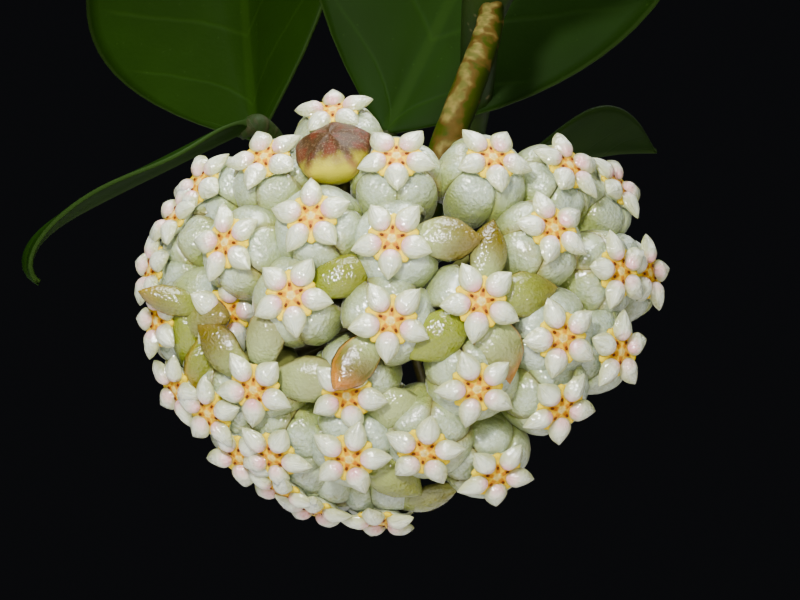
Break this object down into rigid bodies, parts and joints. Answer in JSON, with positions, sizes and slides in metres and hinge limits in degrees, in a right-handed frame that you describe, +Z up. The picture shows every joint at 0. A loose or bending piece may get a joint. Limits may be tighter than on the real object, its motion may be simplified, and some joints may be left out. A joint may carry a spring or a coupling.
{
  "type": "potted hoya",
  "caption": "Hoya plant in a plain clay pot, with arching vines, thick opposite leaves and a round head of pale star-crowned flowers.",
  "frame": {"origin": "middle of the pot's foot, on the surface that the pot stands on", "axes": "+Z up, +X to the right of the picture, -Y towards the picture's viewer"},
  "size_m": [0.381, 0.378, 0.328],
  "materials": {
    "clay": "matte",
    "potting_mix": "rough",
    "vine": "satin",
    "leaf": "satin",
    "stalk": "satin",
    "petal": "glossy",
    "bud": "satin"
  },
  "bodies": {
    "root": {"pot": "clay", "potting_mix": "potting_mix", "vine_left": "vine", "vine_right": "vine", "vine_back": "vine", "leaf_01": "leaf", "leaf_02": "leaf", "leaf_03": "leaf", "leaf_04": "leaf", "leaf_05": "leaf", "leaf_06": "leaf", "leaf_07": "leaf", "leaf_08": "leaf", "leaf_09": "leaf", "leaf_10": "leaf", "leaf_11": "leaf", "leaf_12": "leaf", "leaf_13": "leaf", "leaf_14": "leaf", "leaf_15": "leaf", "leaf_16": "leaf", "leaf_17": "leaf", "leaf_18": "leaf", "leaf_19": "leaf", "leaf_20": "leaf", "leaf_21": "leaf", "peduncle": "stalk", "flower_head": "petal", "bud": "bud"}
  },
  "joints": []
}
